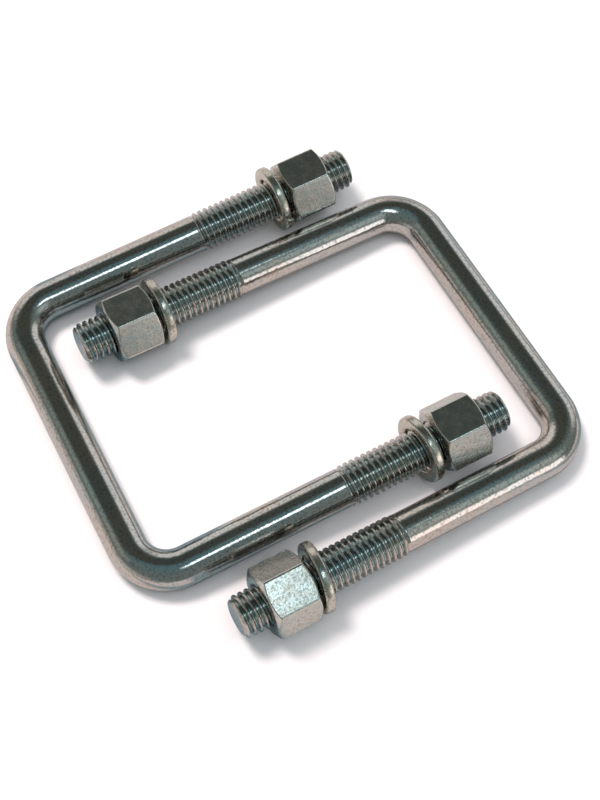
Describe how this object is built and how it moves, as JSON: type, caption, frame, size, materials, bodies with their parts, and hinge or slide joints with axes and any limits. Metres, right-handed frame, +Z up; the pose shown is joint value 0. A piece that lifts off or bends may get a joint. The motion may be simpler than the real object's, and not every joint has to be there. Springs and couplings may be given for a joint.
{
  "type": "u-bolt pair",
  "caption": "Square U-bolts of bent, zinc plated rod with threaded legs, hex nuts and split lock washers, for clamping a pipe, axle or beam to a plate.",
  "frame": {"origin": "middle of the footprint of the nested pair, on the surface it lies on", "axes": "+X along the legs of U-bolt A from its crossbar to its tips, halved with the skew of U-bolt B, whose legs point to -X; +Y across the legs; +Z up"},
  "size_m": [0.1438, 0.1386, 0.0222],
  "materials": {
    "rod_zinc": "bright zinc plate, blue-white, semi-glossy, lightly speckled",
    "nut_zinc": "bright zinc plate, slightly mottled flats",
    "washer_zinc": "zinc plate, pale champagne, satin"
  },
  "bodies": {
    "u_bolt_a": {"bolt_a_rod": "rod_zinc"},
    "u_bolt_b": {"bolt_b_rod": "rod_zinc"},
    "bolt_a_front_washer": {"bolt_a_front_lock_washer": "washer_zinc"},
    "bolt_a_front_nut": {"bolt_a_front_nut": "nut_zinc"},
    "bolt_a_rear_washer": {"bolt_a_rear_lock_washer": "washer_zinc"},
    "bolt_a_rear_nut": {"bolt_a_rear_nut": "nut_zinc"},
    "bolt_b_front_washer": {"bolt_b_front_lock_washer": "washer_zinc"},
    "bolt_b_front_nut": {"bolt_b_front_nut": "nut_zinc"},
    "bolt_b_rear_washer": {"bolt_b_rear_lock_washer": "washer_zinc"},
    "bolt_b_rear_nut": {"bolt_b_rear_nut": "nut_zinc"}
  },
  "joints": [
    {"name": "u_bolt_b_lift", "type": "slide", "parent": "u_bolt_a", "child": "u_bolt_b", "axis": [0, 0, 1], "range_m": [0, 0.06]},
    {"name": "bolt_a_front_travel", "type": "slide", "parent": "u_bolt_a", "child": "bolt_a_front_washer", "axis": [0.9984, -0.0192, 0.0533], "range_m": [-0.0201, 0.0161]},
    {"name": "bolt_a_front_nut_spin", "type": "hinge", "parent": "bolt_a_front_washer", "child": "bolt_a_front_nut", "pos_m": [0.0266, -0.03852, 0.01087], "axis": [0.9984, -0.0192, 0.0533], "range_deg": [-3685, 2948]},
    {"name": "bolt_a_rear_travel", "type": "slide", "parent": "u_bolt_a", "child": "bolt_a_rear_washer", "axis": [0.9984, -0.0192, 0.0533], "range_m": [-0.0201, 0.0241]},
    {"name": "bolt_a_rear_nut_spin", "type": "hinge", "parent": "bolt_a_rear_washer", "child": "bolt_a_rear_nut", "pos_m": [0.02875, 0.0583, 0.01089], "axis": [0.9984, -0.0192, 0.0533], "range_deg": [-3685, 4422]},
    {"name": "bolt_b_front_travel", "type": "slide", "parent": "u_bolt_b", "child": "bolt_b_front_washer", "axis": [-0.9984, -0.0192, 0.0527], "range_m": [-0.0201, 0.0241]},
    {"name": "bolt_b_front_nut_spin", "type": "hinge", "parent": "bolt_b_front_washer", "child": "bolt_b_front_nut", "pos_m": [-0.027, -0.05853, 0.01084], "axis": [-0.9984, -0.0192, 0.0527], "range_deg": [-3685, 4422]},
    {"name": "bolt_b_rear_travel", "type": "slide", "parent": "u_bolt_b", "child": "bolt_b_rear_washer", "axis": [-0.9984, -0.0192, 0.0527], "range_m": [-0.0201, 0.0161]},
    {"name": "bolt_b_rear_nut_spin", "type": "hinge", "parent": "bolt_b_rear_washer", "child": "bolt_b_rear_nut", "pos_m": [-0.02756, 0.03833, 0.01077], "axis": [-0.9984, -0.0192, 0.0527], "range_deg": [-3685, 2948]}
  ],
  "couplings": [
    {"joint": "bolt_a_front_travel", "follows": "bolt_a_front_nut_spin", "m_per_rad": 0.00031096},
    {"joint": "bolt_a_rear_travel", "follows": "bolt_a_rear_nut_spin", "m_per_rad": 0.00031096},
    {"joint": "bolt_b_front_travel", "follows": "bolt_b_front_nut_spin", "m_per_rad": 0.00031096},
    {"joint": "bolt_b_rear_travel", "follows": "bolt_b_rear_nut_spin", "m_per_rad": 0.00031096}
  ]
}
